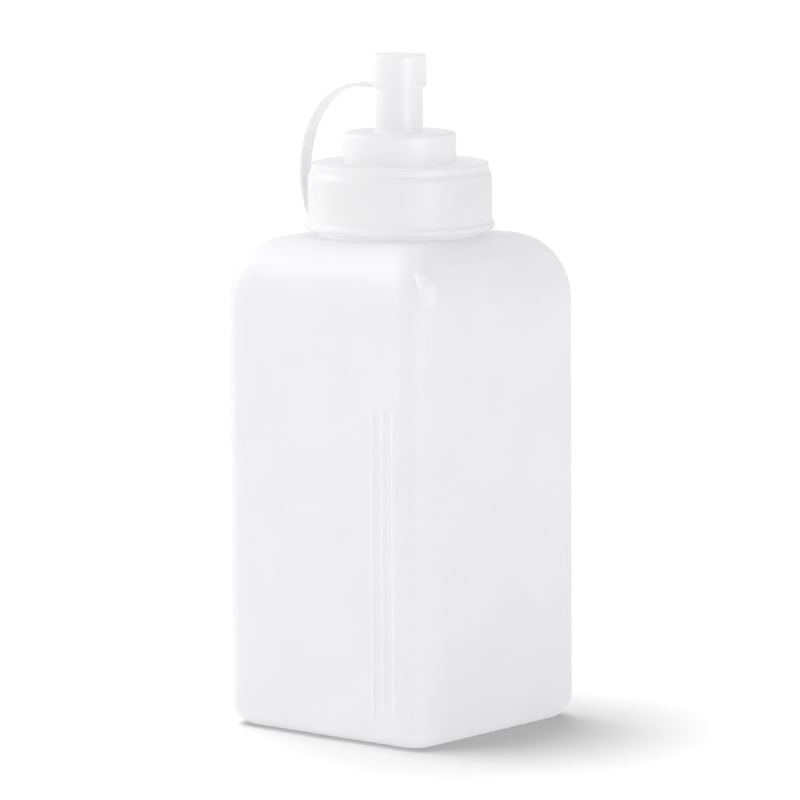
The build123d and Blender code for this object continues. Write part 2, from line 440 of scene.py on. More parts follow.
class MilkTone(Effect):
    """Cloudy differences in how milky the plastic is, with faint streaks, and a lighter colour on thick
    places that is partly milkier plastic and partly a painted highlight.
    """

    NAME = "milk_tone"
    INPUTS = {
        "Thin Colour": ("NodeSocketColor", (0.85, 0.85, 0.86, 1.0)),
        "Thick Colour": ("NodeSocketColor", (0.92, 0.92, 0.92, 1.0)),
        # Lighter colour of thick ribs and lugs: partly milkier plastic, partly a painted highlight
        "Stout Colour": ("NodeSocketColor", (0.96, 0.96, 0.96, 1.0)),
        "Stout Highlight": ("NodeSocketFloat", 0.0),
        "Cloud Scale": ("NodeSocketFloat", 60.0),
        "Streak Scale": ("NodeSocketFloat", 150.0),
        "Streak Share": ("NodeSocketFloat", 0.3),
        "Flow": ("NodeSocketVector", (1.0, 1.0, 0.06)),
    }
    OUTPUTS = {"Colour": "NodeSocketColor"}

    @classmethod
    def fill(cls, nodes: NodeTree, given: bpy.types.bpy_prop_collection) -> dict[str, Value]:
        """Mixes a cloud and a streak pattern and colours the result."""
        place = nodes.place("Object")
        along = nodes.add("ShaderNodeVectorMath", {0: place, 1: given["Flow"]}, operation="MULTIPLY")
        cloud = nodes.noise(place, given["Cloud Scale"], detail=3.0)
        streak = nodes.noise(along.outputs[0], given["Streak Scale"], detail=2.0)
        pattern = nodes.mix(Mixed.NUMBER, given["Streak Share"], cloud, streak)
        milky = nodes.spread(pattern, low=0.3, high=0.7)
        wall = nodes.mix(Mixed.COLOUR, milky, given["Thin Colour"], given["Thick Colour"])
        # Thick ribs and lugs take the lighter colour, which shows milkier plastic and also paints a
        # highlight on them
        return {"Colour": nodes.mix(Mixed.COLOUR, given["Stout Highlight"], wall, given["Stout Colour"])}


class MouldGrain(Effect):
    """Fine uneven skin that a mould leaves on soft plastic, with a few rubbed spots."""

    NAME = "mould_grain"
    INPUTS = {
        "Grain Scale": ("NodeSocketFloat", 1600.0),
        "Wave Scale": ("NodeSocketFloat", 160.0),
        "Wave Share": ("NodeSocketFloat", 0.5),
        "Patch Scale": ("NodeSocketFloat", 45.0),
        "Smooth Roughness": ("NodeSocketFloat", 0.34),
        "Rubbed Roughness": ("NodeSocketFloat", 0.5),
    }
    OUTPUTS = {"Height": "NodeSocketFloat", "Roughness": "NodeSocketFloat"}

    @classmethod
    def fill(cls, nodes: NodeTree, given: bpy.types.bpy_prop_collection) -> dict[str, Value]:
        """Adds fine grain to slow waves for the height, and spreads rubbed patches for the gloss."""
        place = nodes.place("Object")
        grain = nodes.noise(place, given["Grain Scale"], detail=2.0)
        wave = nodes.noise(place, given["Wave Scale"], detail=1.0)
        patch = nodes.noise(place, given["Patch Scale"], detail=4.0, roughness=0.7)
        rubbed = nodes.spread(patch, low=0.4, high=0.75)
        clean, worn = given["Smooth Roughness"], given["Rubbed Roughness"]
        return {
            "Height": nodes.mix(Mixed.NUMBER, given["Wave Share"], grain, wave),
            "Roughness": nodes.mix(Mixed.NUMBER, rubbed, clean, worn),
        }


@dataclass(frozen=True)
class MilkyPlastic:
    """Natural polyethylene: milky, a little see-through, with a soft satin skin.

    Attributes:
        name: Name of the material.
        thin: Colour where the plastic is least milky.
        thick: Colour where it is most milky.
        smooth_roughness: Roughness of the clean skin.
        rubbed_roughness: Roughness of rubbed spots.
        bump: Depth of the skin's unevenness in millimetres.
        stout_highlight: Lighter colour of ribs and other places where the plastic is thicker than its
            wall, partly milkier plastic and partly a painted highlight.
        streak_share: Share of the flow streaks in the tone.
        glow: Share of the light that comes from behind the wall, spread by the milky plastic.
        clearness: Share of the light from all round that one face of the wall lets pass.
        lamp_clearness: Share of a lamp's light that one face of the wall lets pass.
        sheer: How far one can see into the plastic.
        bending: Refractive index.
    """

    name: str
    thin: tuple[float, float, float]
    thick: tuple[float, float, float]
    smooth_roughness: float
    rubbed_roughness: float
    bump: float
    stout_highlight: tuple[float, float, float] = (0.95, 0.95, 0.95)
    streak_share: float = 0.2
    glow: float = 0.3
    clearness: float = 0.93
    lamp_clearness: float = 0.85
    sheer: float = 0.05
    bending: float = 1.51

    def material(self) -> bpy.types.Material:
        """Builds the material, or gives the one that was built before."""
        found = bpy.data.materials.get(self.name)
        if found is not None:
            return found
        made = bpy.data.materials.new(self.name)
        made.use_nodes = True
        nodes = NodeTree(made.node_tree)
        colour = MilkTone.place(nodes, {
            "Thin Colour": (*self.thin, 1.0),
            "Thick Colour": (*self.thick, 1.0),
            "Stout Colour": (*self.stout_highlight, 1.0),
            # How thick the plastic is on ribs and lugs, which sets their lighter colour and painted
            # highlight
            "Stout Highlight": nodes.add("ShaderNodeAttribute", attribute_name=STOUT_HIGHLIGHT).outputs["Fac"],
            "Streak Share": self.streak_share,
        })["Colour"]
        grain = MouldGrain.place(nodes, {
            "Smooth Roughness": self.smooth_roughness,
            "Rubbed Roughness": self.rubbed_roughness,
        })
        bump = nodes.add("ShaderNodeBump", {"Distance": self.bump * MM, "Height": grain["Height"]})
        shader = made.node_tree.nodes["Principled BSDF"]
        for name, value in {
            "Base Color": colour,
            "Roughness": grain["Roughness"],
            "Normal": bump.outputs["Normal"],
            "IOR": self.bending,
            "Transmission Weight": self.sheer,
        }.items():
            nodes.put(shader.inputs[name], value)
        shown = self.milky(nodes, shader.outputs[0], colour)
        nodes.put(made.node_tree.nodes["Material Output"].inputs["Surface"], shown)
        return made

    def milky(self, nodes: NodeTree, skin_shader: Value, colour: Value) -> bpy.types.NodeSocket:
        """Adds light that comes through the wall, and lets a share of other light pass.

        Args:
            nodes: The material's tree.
            skin_shader: The shader of the skin.
            colour: Colour of the plastic.

        Returns:
            The shader that shows.
        """
        path = nodes.add("ShaderNodeLightPath").outputs
        through = nodes.add("ShaderNodeBsdfTranslucent", {"Color": colour})
        clear = nodes.add("ShaderNodeBsdfTransparent")
        dim = nodes.add("ShaderNodeBsdfTransparent", {"Color": grey(self.lamp_clearness)})
        both = nodes.mix(Mixed.SHADER, self.glow, skin_shader, through.outputs[0])
        passed = nodes.math("MULTIPLY", path["Is Diffuse Ray"], self.clearness)
        soft = nodes.mix(Mixed.SHADER, passed, both, clear.outputs[0])
        return nodes.mix(Mixed.SHADER, path["Is Shadow Ray"], soft, dim.outputs[0])


BOTTLE_FINISH = MilkyPlastic(
    name="bottle_polyethylene",
    thin=(0.846, 0.843, 0.862),
    thick=(0.869, 0.866, 0.884),
    smooth_roughness=0.34,
    rubbed_roughness=0.46,
    bump=0.02,
    # Ribs and lugs: milkier thick plastic, shown lighter also as a painted highlight
    stout_highlight=(0.888, 0.885, 0.899),
    streak_share=0.22,
    clearness=0.85,
    lamp_clearness=0.68,
    sheer=0.12,
)
SPOUT_FINISH = MilkyPlastic(
    name="spout_polyethylene",
    thin=(0.845, 0.844, 0.853),
    thick=(0.869, 0.869, 0.875),
    smooth_roughness=0.29,
    rubbed_roughness=0.36,
    bump=0.01,
)
CAP_FINISH = replace(SPOUT_FINISH, name="cap_polyethylene")
STRAP_FINISH = MilkyPlastic(
    name="strap_polyethylene",
    thin=(0.84, 0.84, 0.848),
    thick=(0.866, 0.866, 0.87),
    smooth_roughness=0.32,
    rubbed_roughness=0.45,
    bump=0.008,
)


def dress(piece: bpy.types.Object, finish: MilkyPlastic) -> None:
    """Gives a piece its material and logs its faces and finish.

    Args:
        piece: The piece.
        finish: Its finish.
    """
    piece.data.materials.clear()
    piece.data.materials.append(finish.material())
    LOG.info("%s: %d faces, %s", piece.name, len(piece.data.polygons), finish.name)


# The bottle


@dataclass
class BottleShell:
    """Blow-moulded body with ribs, lugs, collar, neck and thread, as one hollow skin."""

    wall: float = 1.2
    crown: float = 0.35
    corner_round: float = 6.5
    shoulder_level: float = 114.0
    shoulder_reach: float = 11.0
    shoulder_drop: float = 15.5
    shoulder_round: float = 4.0
    base_reach: float = 5.0
    base_rise: float = 5.5
    base_corner_share: float = 0.6
    rim_width: float = 5.0
    recess_depth: float = 1.5
    recess_dome: float = 0.5
    recess_round: float = 0.6
    rib_radius: float = 0.6
    rib_raise: float = 0.5
    rib_pitch: float = 3.1
    rib_count: int = 3
    rib_edge_distance: float = 7.2
    rib_bottom: float = 7.0
    rib_length: float = 71.0
    lug_radius: float = 2.2
    lug_raise: float = 0.5
    lug_tilt: float = 2.0
    lug_bearing: float = 13.0
    lug_facing: float = 38.0
    lug_level: float = 102.0
    lug_foot_round: float = 1.2
    lug_length: float = 7.8
    lug_fade: float = 3.6
    lug_depth: float = 1.2
    # How much lighter the lug is shown: thicker plastic, and a painted highlight on the lug
    lug_stout_highlight: float = 0.22
    lug_catch: float = 1.5
    collar_radius: float = 18.5
    collar_height: float = 1.8
    neck_radius: float = 17.6
    neck_wall: float = 1.6
    thread: Thread = Thread(start=119.1, turns=1.5, depth=1.1, root=2.0)

    # Places of columns on a flat, as shares of its half: on a ribbed face beside the ribs, on a plain
    # one, and the last before the corner; and steps round the corner after a ribbed and a plain face
    RIBBED_STOPS = (*np.linspace(-1.0, 0.62, 13), 0.77, 0.905)
    PLAIN_STOPS = (*np.linspace(-1.0, -0.78, 20), *np.linspace(-0.7, 0.9, 14))
    LAST_STOP = 0.999
    CORNER_STEPS = (36, 12)
    # Shares of the recess's width at which it has a section
    RECESS_SHARES = (0.0, 0.08, 0.2, 0.35, 0.5, 0.65, 0.8, 0.92)
    # Rounded edges, as rows of a step outwards and a height or a step upwards
    RECESS_EDGE = ((0.0, 1.48), (0.3, 1.4), (0.5, 1.15), (0.6, 0.8), (0.66, 0.4), (0.8, 0.14), (1.1, 0.0))
    COLLAR_FOOT = ((0.3, 0.02), (0.12, 0.12), (0.03, 0.28), (0.0, 0.5))
    COLLAR_RIM = ((0.0, -0.45), (-0.05, -0.2), (-0.2, -0.05), (-0.4, 0.0))
    NECK_FOOT = ((0.2, 0.02), (0.06, 0.08), (0.0, 0.25))
    NECK_RIM = ((0.0, -0.4), (-0.04, -0.2), (-0.14, -0.06), (-0.3, 0.0))
    BORE_RIM = ((0.3, 0.0), (0.12, -0.05), (0.03, -0.18), (0.0, -0.4), (0.0, -3.0), (0.0, -8.0))
    BORE_FOOT = ((0.0, 0.8), (0.05, 0.4), (0.25, 0.1), (0.6, 0.0))
    # Plain stretch beside the rounded edges of the collar and the neck
    NECK_GAP = 0.5
    # Shares of the way from the shoulder's edge to the collar at which the top has a ring
    TOP_SHARES = (0.3, 0.65, 1.0)
    # Rings across the rounded ends of the ribs and in the plain wall between and above them
    RIB_MARGIN = 0.4
    RIB_END = 1.4
    RIB_STEP = 0.14
    RIB_RINGS = 15
    PLAIN_GAP = 2.0
    # Plain stretch of the standing rim, and of the inside wall above the base and below the shoulder
    RIM_GAP = 2.0
    INNER_BASE_GAP = 4.0
    INNER_TOP_GAP = 6.0
    # Degrees along the shoulder, close together where the lugs are
    SHOULDER_TURNS = (
        *np.arange(0.0, 10.0, 2.5), *np.arange(10.0, 52.0, 1.0), *np.linspace(52.0, 90.0, 15)
    )
    RINGS_BELOW_LUG = 6

    def __post_init__(self) -> None:
        """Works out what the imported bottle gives, and lays out the columns of points."""
        low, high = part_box("bottle")
        self.neck_top = high.z / MM
        self.half = (high.y - low.y) / MM / 2 - self.rib_raise
        self.recess_edge = self.half - self.base_reach - self.rim_width
        self.wall_top = self.shoulder_level - self.shoulder_drop
        edge = self.half - self.rib_edge_distance
        self.rib_middles = [edge - index * self.rib_pitch for index in range(self.rib_count)]
        self.lay_columns()

    def lay_columns(self) -> None:
        """Sets where each column of points stands on a section of the body.

        A column has the direction of its face, its place on the flat from -1 to 1 and the
        angle that it has turned round the corner after that flat. Columns stand close together
        across the ribs, and where the lugs are.
        """
        run = self.half - self.corner_round
        across_rib = [step * self.rib_radius / 4 for step in range(-5, 6)]
        rib_stops = [(middle + step) / run for middle in self.rib_middles for step in across_rib]
        ribbed = sorted(stop for stop in (*self.RIBBED_STOPS, *rib_stops) if stop < self.LAST_STOP)
        directions, flats, bends = [], [], []
        for face in range(4):
            stops, corner_steps = (ribbed, self.PLAIN_STOPS)[face % 2], self.CORNER_STEPS[face % 2]
            turns = np.linspace(0.0, math.pi / 2, corner_steps, endpoint=False)
            flats.extend([*stops, *np.ones(corner_steps)])
            bends.extend([*np.zeros(len(stops)), *turns])
            directions.extend([math.radians(90 * face - 90)] * (len(stops) + corner_steps))
        self.directions = np.array(directions)
        self.flats = np.array(flats)
        self.bends = np.array(bends)

    def section(self, half: float, corner: float, level: float, crown: float = 0.0) -> np.ndarray:
        """Points of one level section, a square with round corners and faintly crowned sides.

        Args:
            half: Half of the section's side.
            corner: Radius of its corners.
            level: Height of the section.
            crown: How far the middle of each side stands proud.

        Returns:
            One point for each column.
        """
        run = half - corner
        out = run + corner * np.cos(self.bends) + crown * (1 + np.cos(math.pi * self.flats)) / 2
        along = self.flats * run + corner * np.sin(self.bends)
        x = out * np.cos(self.directions) - along * np.sin(self.directions)
        y = out * np.sin(self.directions) + along * np.cos(self.directions)
        return np.column_stack((x, y, np.full(len(x), level)))

    def circle(self, radius: float, level: float) -> np.ndarray:
        """Points of one round section, each in line with its column on the shoulder's edge."""
        top = self.section(self.half - self.shoulder_reach, self.shoulder_round, level)
        around = np.arctan2(top[:, 1], top[:, 0])
        return np.column_stack((radius * np.cos(around), radius * np.sin(around), top[:, 2]))

    def circles(self, radius: float, level: float,
                steps: Sequence[tuple[float, float]]) -> list[np.ndarray]:
        """Round sections at some steps outwards and upwards from a radius and a level."""
        return [self.circle(radius + out, level + up) for out, up in steps]

    def quarter(self, turns: Sequence[float], inset: float, start: float, size: tuple[float, float],
                corner_change: float) -> list[np.ndarray]:
        """Sections along a quarter of an ellipse that leads in from the wall.

        Args:
            turns: Degrees along the quarter, from 0 at the wall to 90 at its end.
            inset: How far the surface is drawn in.
            start: Height at which the quarter leaves the wall.
            size: How far it reaches in, and how far up.
            corner_change: What its end adds to the radius of the corners.

        Returns:
            The sections.
        """
        found = []
        for turn in turns:
            come_in = 1 - math.cos(math.radians(turn))
            half = self.half - inset - size[0] * come_in
            corner = self.corner_round - inset + corner_change * come_in
            level = start + size[1] * math.sin(math.radians(turn))
            crown = self.crown * (1 - come_in) * (1 - inset / self.wall)
            found.append(self.section(half, corner, level, crown))
        return found

    def shoulder(self, inset: float, turns: Sequence[float]) -> list[np.ndarray]:
        """Sections of the shoulder, on the outside or drawn in by an inset."""
        size = (self.shoulder_reach - inset, self.shoulder_drop - inset)
        corner_change = (self.shoulder_round - inset) - (self.corner_round - inset)
        return self.quarter(turns, inset, self.wall_top, size, corner_change)

    def base(self, inset: float, turns: Sequence[float]) -> list[np.ndarray]:
        """Sections of the round edge at the base, on the outside or drawn in by an inset."""
        size = (self.base_reach - inset, inset - self.base_rise)
        return self.quarter(turns, inset, self.base_rise, size, -self.base_corner_share * size[0])

    def recess(self, edge: float, ceiling: float, corner: float) -> list[np.ndarray]:
        """Sections from the middle of the base out to the edge of its recess.

        Args:
            edge: Half of the recess's side.
            ceiling: Height of its ceiling at the edge.
            corner: Radius of its corners.

        Returns:
            The sections, the first of them a point.
        """
        return [
            self.section(edge * share, corner * share, ceiling + self.recess_dome * (1 - share * share))
            for share in self.RECESS_SHARES
        ]

    def underside(self) -> list[np.ndarray]:
        """Sections of the recess and the standing rim, up to the foot of the wall."""
        rings = self.recess(self.recess_edge, self.recess_depth, self.corner_round)
        for come_out, level in self.RECESS_EDGE:
            edge = self.recess_edge - self.recess_round + come_out
            rings.append(self.section(edge, self.corner_round - self.recess_round + come_out, level))
        base_corner = self.corner_round - self.base_corner_share * self.base_reach
        rings.append(self.section(self.half - self.base_reach - self.RIM_GAP, base_corner, 0.0))
        return rings + self.base(0.0, np.linspace(90.0, 0.0, 13))

    def wall_sections(self) -> list[np.ndarray]:
        """Sections of the upright wall, close together at the ends of the ribs."""
        foot, head = self.rib_bottom, self.rib_bottom + self.rib_length
        levels = [
            *np.arange(foot - self.RIB_MARGIN, foot + self.RIB_END, self.RIB_STEP),
            *np.linspace(foot + self.RIB_END + 1.0, head - self.RIB_END - 1.0, self.RIB_RINGS),
            *np.arange(head - self.RIB_END, head + self.RIB_MARGIN, self.RIB_STEP),
            *np.linspace(head + self.PLAIN_GAP, self.wall_top - self.PLAIN_GAP, 4),
        ]
        return [self.section(self.half, self.corner_round, level, self.crown) for level in levels]

    def outside(self) -> np.ndarray:
        """Rings of the outer surface, from the middle of the base to the rim of the neck."""
        rings = self.underside() + self.wall_sections()
        body = len(rings)
        rings += self.shoulder(0.0, self.SHOULDER_TURNS)
        top_ring, level = rings[-1], self.shoulder_level
        foot_ring = self.circle(self.collar_radius + self.NECK_GAP, level)
        rings += [top_ring + (foot_ring - top_ring) * share for share in self.TOP_SHARES]
        collar_top = level + self.collar_height
        rings += self.circles(self.collar_radius, level, self.COLLAR_FOOT)
        rings += self.circles(self.collar_radius, collar_top, self.COLLAR_RIM)
        rings += self.circles(self.neck_radius, collar_top, self.NECK_FOOT)
        heights = self.thread.levels(collar_top + self.NECK_GAP, self.neck_top - self.NECK_GAP)
        rings += [self.circle(self.neck_radius, height) for height in heights]
        rings += self.circles(self.neck_radius, self.neck_top, self.NECK_RIM)
        made = np.stack(rings)
        low = body - self.RINGS_BELOW_LUG
        # How thick the plastic is on ribs and lugs, which the material shows lighter, partly as a painted
        # highlight
        self.stout_highlight = np.zeros(made.shape[:2])
        self.stout_highlight[:body] = self.raise_ribs(made[:body])
        self.stout_highlight[low:] += self.raise_lugs(made[low:])
        push_out(made, self.thread.proud(made))
        return made

    def inside(self) -> np.ndarray:
        """Rings of the inner surface, from the rim of the neck down to the middle of the floor."""
        bore = self.neck_radius - self.neck_wall
        rings = self.circles(bore, self.neck_top, self.BORE_RIM)
        rings += self.circles(bore, self.shoulder_level - self.wall, self.BORE_FOOT)
        top = self.shoulder(self.wall, np.linspace(90.0, 0.0, 16))
        rings.append(rings[-1] + (top[0] - rings[-1]) * 0.5)
        rings += top
        half, corner = self.half - self.wall, self.corner_round - self.wall
        levels = np.linspace(self.wall_top - self.INNER_TOP_GAP, self.base_rise + self.INNER_BASE_GAP, 7)
        rings += [self.section(half, corner, level) for level in levels]
        rings += self.base(self.wall, np.linspace(0.0, 90.0, 9))
        edge, corner = self.recess_edge + self.wall, self.corner_round + self.wall
        floor = self.recess_depth + self.wall
        ledge = ((0.5, self.wall), (0.1, self.wall + 0.2), (-0.1, floor - 0.4), (-0.6, floor - 0.02))
        rings += [self.section(edge + out, corner + out, level) for out, level in ledge]
        rings += reversed(self.recess(edge, floor, corner))
        return np.stack(rings)

    def raise_ribs(self, rings: np.ndarray) -> np.ndarray:
        """Raises the upright rounded ribs on the front and the back.

        Args:
            rings: Points on the wall, which are moved.

        Returns:
            From 0 to 1 for each point, how far it stands up to the crest of a rib; the material shows
            this lighter, partly as a painted highlight.
        """
        ribbed = (np.round(self.directions / (math.pi / 2)).astype(int) % 2 == 1) & (self.bends == 0.0)
        side = np.where(self.directions < 0.0, 1.0, -1.0)
        across = rings[:, :, 0] * side
        foot = self.rib_bottom + self.rib_radius
        head = self.rib_bottom + self.rib_length - self.rib_radius
        past = np.maximum(np.maximum(foot - rings[:, :, 2], rings[:, :, 2] - head), 0.0)
        proud = np.zeros(across.shape)
        for middle in self.rib_middles:
            room = self.rib_radius ** 2 - (across - middle) ** 2 - past ** 2
            height = np.sqrt(np.maximum(room, 0.0)) + self.rib_raise - self.rib_radius
            proud += np.where(room > 0.0, soft_above(height), 0.0)
        proud = np.where(ribbed, proud, 0.0)
        rings[:, :, 1] -= side * proud
        return smooth(proud / self.rib_raise)

    def raise_lugs(self, rings: np.ndarray) -> np.ndarray:
        """Raises a low round-backed bar beside each of two opposite corners of the shoulder.

        A bar stands at its bearing from the middle of the corner's round, and faces another way.

        Args:
            rings: Points on the shoulder, which are moved.

        Returns:
            For each point, how much thicker the plastic is there, up to lug_stout_highlight, which the
            material shows lighter, partly as a painted highlight on the lug.
        """
        bearing, facing, tilt = (
            math.radians(angle) for angle in (self.lug_bearing, self.lug_facing, self.lug_tilt)
        )
        placed = np.array((math.cos(bearing), -math.sin(bearing), 0.0))
        away = np.array((math.cos(facing), -math.sin(facing), 0.0))
        up = np.array((0.0, 0.0, 1.0))
        outward = math.cos(tilt) * away + math.sin(tilt) * up
        axis = math.cos(tilt) * up - math.sin(tilt) * away
        across = np.cross(axis, outward)
        middle = self.half - self.corner_round
        foot = np.array((middle, -middle, self.lug_level))
        foot = foot + placed * (self.corner_round + self.lug_raise - self.lug_radius)
        raised = np.zeros(rings.shape[:2])
        for side in (1.0, -1.0):
            turn = np.array((side, side, 1.0))
            local = rings * turn - foot
            off, deep, along = local @ across, local @ outward, local @ axis
            room = self.lug_radius ** 2 - off ** 2
            lift = np.sqrt(np.maximum(room, 0.0)) - deep
            near = (room > 0.0) & (deep > -self.lug_catch)
            shown = smooth((along + self.lug_foot_round) / (2 * self.lug_foot_round))
            shown *= np.clip((self.lug_length - along) / self.lug_fade, 0.0, 1.0)
            lift = np.where(near, soft_above(lift), 0.0) * shown
            rings += lift[:, :, None] * outward * turn
            raised += lift
        return self.lug_stout_highlight * smooth(raised / self.lug_depth)

    def build(self) -> bpy.types.Object:
        """Makes the shell, hangs it on its body and dresses it."""
        outer, inner = self.outside(), self.inside()
        stout_highlight = np.concatenate((self.stout_highlight, np.zeros(inner.shape[:2])))
        made = skin("bottle_shell", np.concatenate((outer, inner)), Ends.POLES, stout_highlight=stout_highlight)
        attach(made, "bottle")
        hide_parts("bottle")
        dress(made, BOTTLE_FINISH)
        return made


# The closure


@dataclass
class Closure:
    """Screw cap, spout and tip cap, turned about the axis of the neck."""

    columns: int = 168
    cap_radius: float = 21.25
    cap_bore: float = 19.4
    bore_gap: float = 0.6
    cap_top_wall: float = 1.6
    band_step: float = 0.75
    band_height: float = 1.7
    slope_height: float = 1.4
    bead_step: float = 0.75
    bead_height: float = 1.8
    snap_radius: float = 18.0
    snap_height: float = 0.8
    snap_drop: float = 1.5
    tier_radius: float = 13.1
    tier_round: float = 0.9
    tier_gap: float = 0.12
    tier_height: float = 7.0
    moulding_wall: float = 1.2
    flange_radius: float = 18.6
    plug_radius: float = 15.8
    plug_length: float = 5.0
    plug_taper: float = 0.35
    tube_foot: float = 5.55
    tube_top: float = 5.4
    tube_height: float = 9.8
    foot_round: float = 0.6
    cone_base: float = 4.6
    cone_tip: float = 2.4
    outlet: float = 1.5
    outlet_length: float = 3.0
    tip_bore: float = 5.5
    tip_wall: float = 0.85
    tip_top_wall: float = 1.0
    tip_draft: float = 0.1
    tube_reach: float = 0.5
    tip_round: float = 0.7
    thread: Thread = Thread(start=117.3, turns=1.25, depth=1.4, root=2.2)

    def __post_init__(self) -> None:
        """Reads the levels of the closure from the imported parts."""
        self.cap_bottom, self.cap_top = lowest("screw_cap"), highest("screw_cap")
        self.cap_ceiling = self.cap_top - self.cap_top_wall
        self.spout_bottom, self.spout_top = lowest("spout"), highest("spout")
        self.tip_bottom, self.tip_top = lowest("tip_cap"), highest("tip_cap")
        self.tier_top = self.cap_ceiling + self.tier_height + self.cap_top_wall
        self.tube_level = self.tier_top + self.tube_height + self.tube_reach

    def screw_cap(self) -> bpy.types.Object:
        """Skirt with band, slope and bead outside, and the thread and the snap bead inside."""
        band = self.cap_radius - self.band_step
        bead = self.cap_radius + self.bead_step
        band_low = self.cap_top - self.band_height
        bead_top = self.cap_bottom + self.bead_height
        snap_top = self.cap_ceiling - self.snap_drop
        snap_low = snap_top - self.snap_height
        hole = self.tier_radius + self.tier_gap
        upper = Outline([
            Corner(self.cap_bore, snap_low - (self.cap_bore - self.snap_radius), 0.3),
            Corner(self.snap_radius, snap_low, 0.2),
            Corner(self.snap_radius, snap_top, 0.15),
            Corner(self.cap_bore, snap_top),
            Corner(self.cap_bore, self.cap_ceiling),
            Corner(hole, self.cap_ceiling, 0.15),
            Corner(hole, self.cap_top, 0.3),
            Corner(band, self.cap_top, 0.55),
            Corner(band, band_low, 0.4),
            Corner(self.cap_radius, band_low - self.slope_height, 0.7),
            Corner(self.cap_radius, bead_top, 0.4),
            Corner(bead, bead_top - self.bead_step, 0.35),
            Corner(bead, self.cap_bottom, 0.5),
            Corner(self.cap_bore, self.cap_bottom, 0.3),
        ]).points()
        steps = self.thread.levels(self.cap_bottom + self.bore_gap, self.cap_ceiling)
        bore = np.column_stack((np.full(len(steps), self.cap_bore), steps))
        rings = turned_rings(np.concatenate((upper, bore)), self.columns)
        inward = self.thread.proud(rings)
        inward[:len(upper)] = 0.0
        push_out(rings, -inward)
        made = skin("screw_cap_moulding", rings, Ends.LOOP)
        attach(made, "screw_cap")
        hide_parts("screw_cap")
        dress(made, CAP_FINISH)
        return made

    def spout(self) -> bpy.types.Object:
        """Plug, flange, tier, tube and cone, open right through."""
        wall = self.moulding_wall
        neck_top = self.spout_bottom + self.plug_length
        rings = turned_rings(Outline([
            Corner(self.plug_radius - self.plug_taper, self.spout_bottom, 0.2),
            Corner(self.plug_radius, self.spout_bottom + 1.0, 0.3),
            Corner(self.plug_radius, neck_top, 0.15),
            Corner(self.flange_radius, neck_top, 0.2),
            Corner(self.flange_radius, self.cap_ceiling, 0.2),
            Corner(self.tier_radius, self.cap_ceiling, 0.2),
            Corner(self.tier_radius, self.tier_top, self.tier_round),
            Corner(self.tube_foot, self.tier_top, self.foot_round),
            Corner(self.tube_top, self.tube_level, 0.15),
            Corner(self.cone_base, self.tube_level, 0.3),
            Corner(self.cone_tip, self.spout_top, 0.35),
            Corner(self.outlet, self.spout_top, 0.2),
            Corner(self.outlet, self.spout_top - self.outlet_length, 0.2),
            Corner(self.tube_top - wall, self.tube_level - wall, 0.5),
            Corner(self.tube_foot - wall, self.tier_top - wall, 0.4),
            Corner(self.tier_radius - wall, self.tier_top - wall, 0.5),
            Corner(self.tier_radius - wall, neck_top, 0.4),
            Corner(self.plug_radius - wall, neck_top, 0.3),
            Corner(self.plug_radius - wall, self.spout_bottom, 0.3),
        ]).points(), self.columns)
        made = skin("spout_moulding", rings, Ends.LOOP)
        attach(made, "spout")
        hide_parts("spout")
        dress(made, SPOUT_FINISH)
        return made

    def tip_cap(self) -> bpy.types.Object:
        """Closed cap over the cone."""
        outer = self.tip_bore + self.tip_wall
        ceiling = self.tip_top - self.tip_top_wall
        rings = turned_rings(Outline([
            Corner(0.0, self.tip_top),
            Corner(outer - self.tip_draft, self.tip_top, self.tip_round),
            Corner(outer, self.tip_bottom, 0.35),
            Corner(self.tip_bore, self.tip_bottom, 0.25),
            Corner(self.tip_bore, ceiling, 0.4),
            Corner(0.0, ceiling),
        ], closed=False).points(), self.columns)
        made = skin("tip_cap_moulding", rings, Ends.POLES)
        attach(made, "tip_cap")
        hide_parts("tip_cap")
        dress(made, CAP_FINISH)
        return made


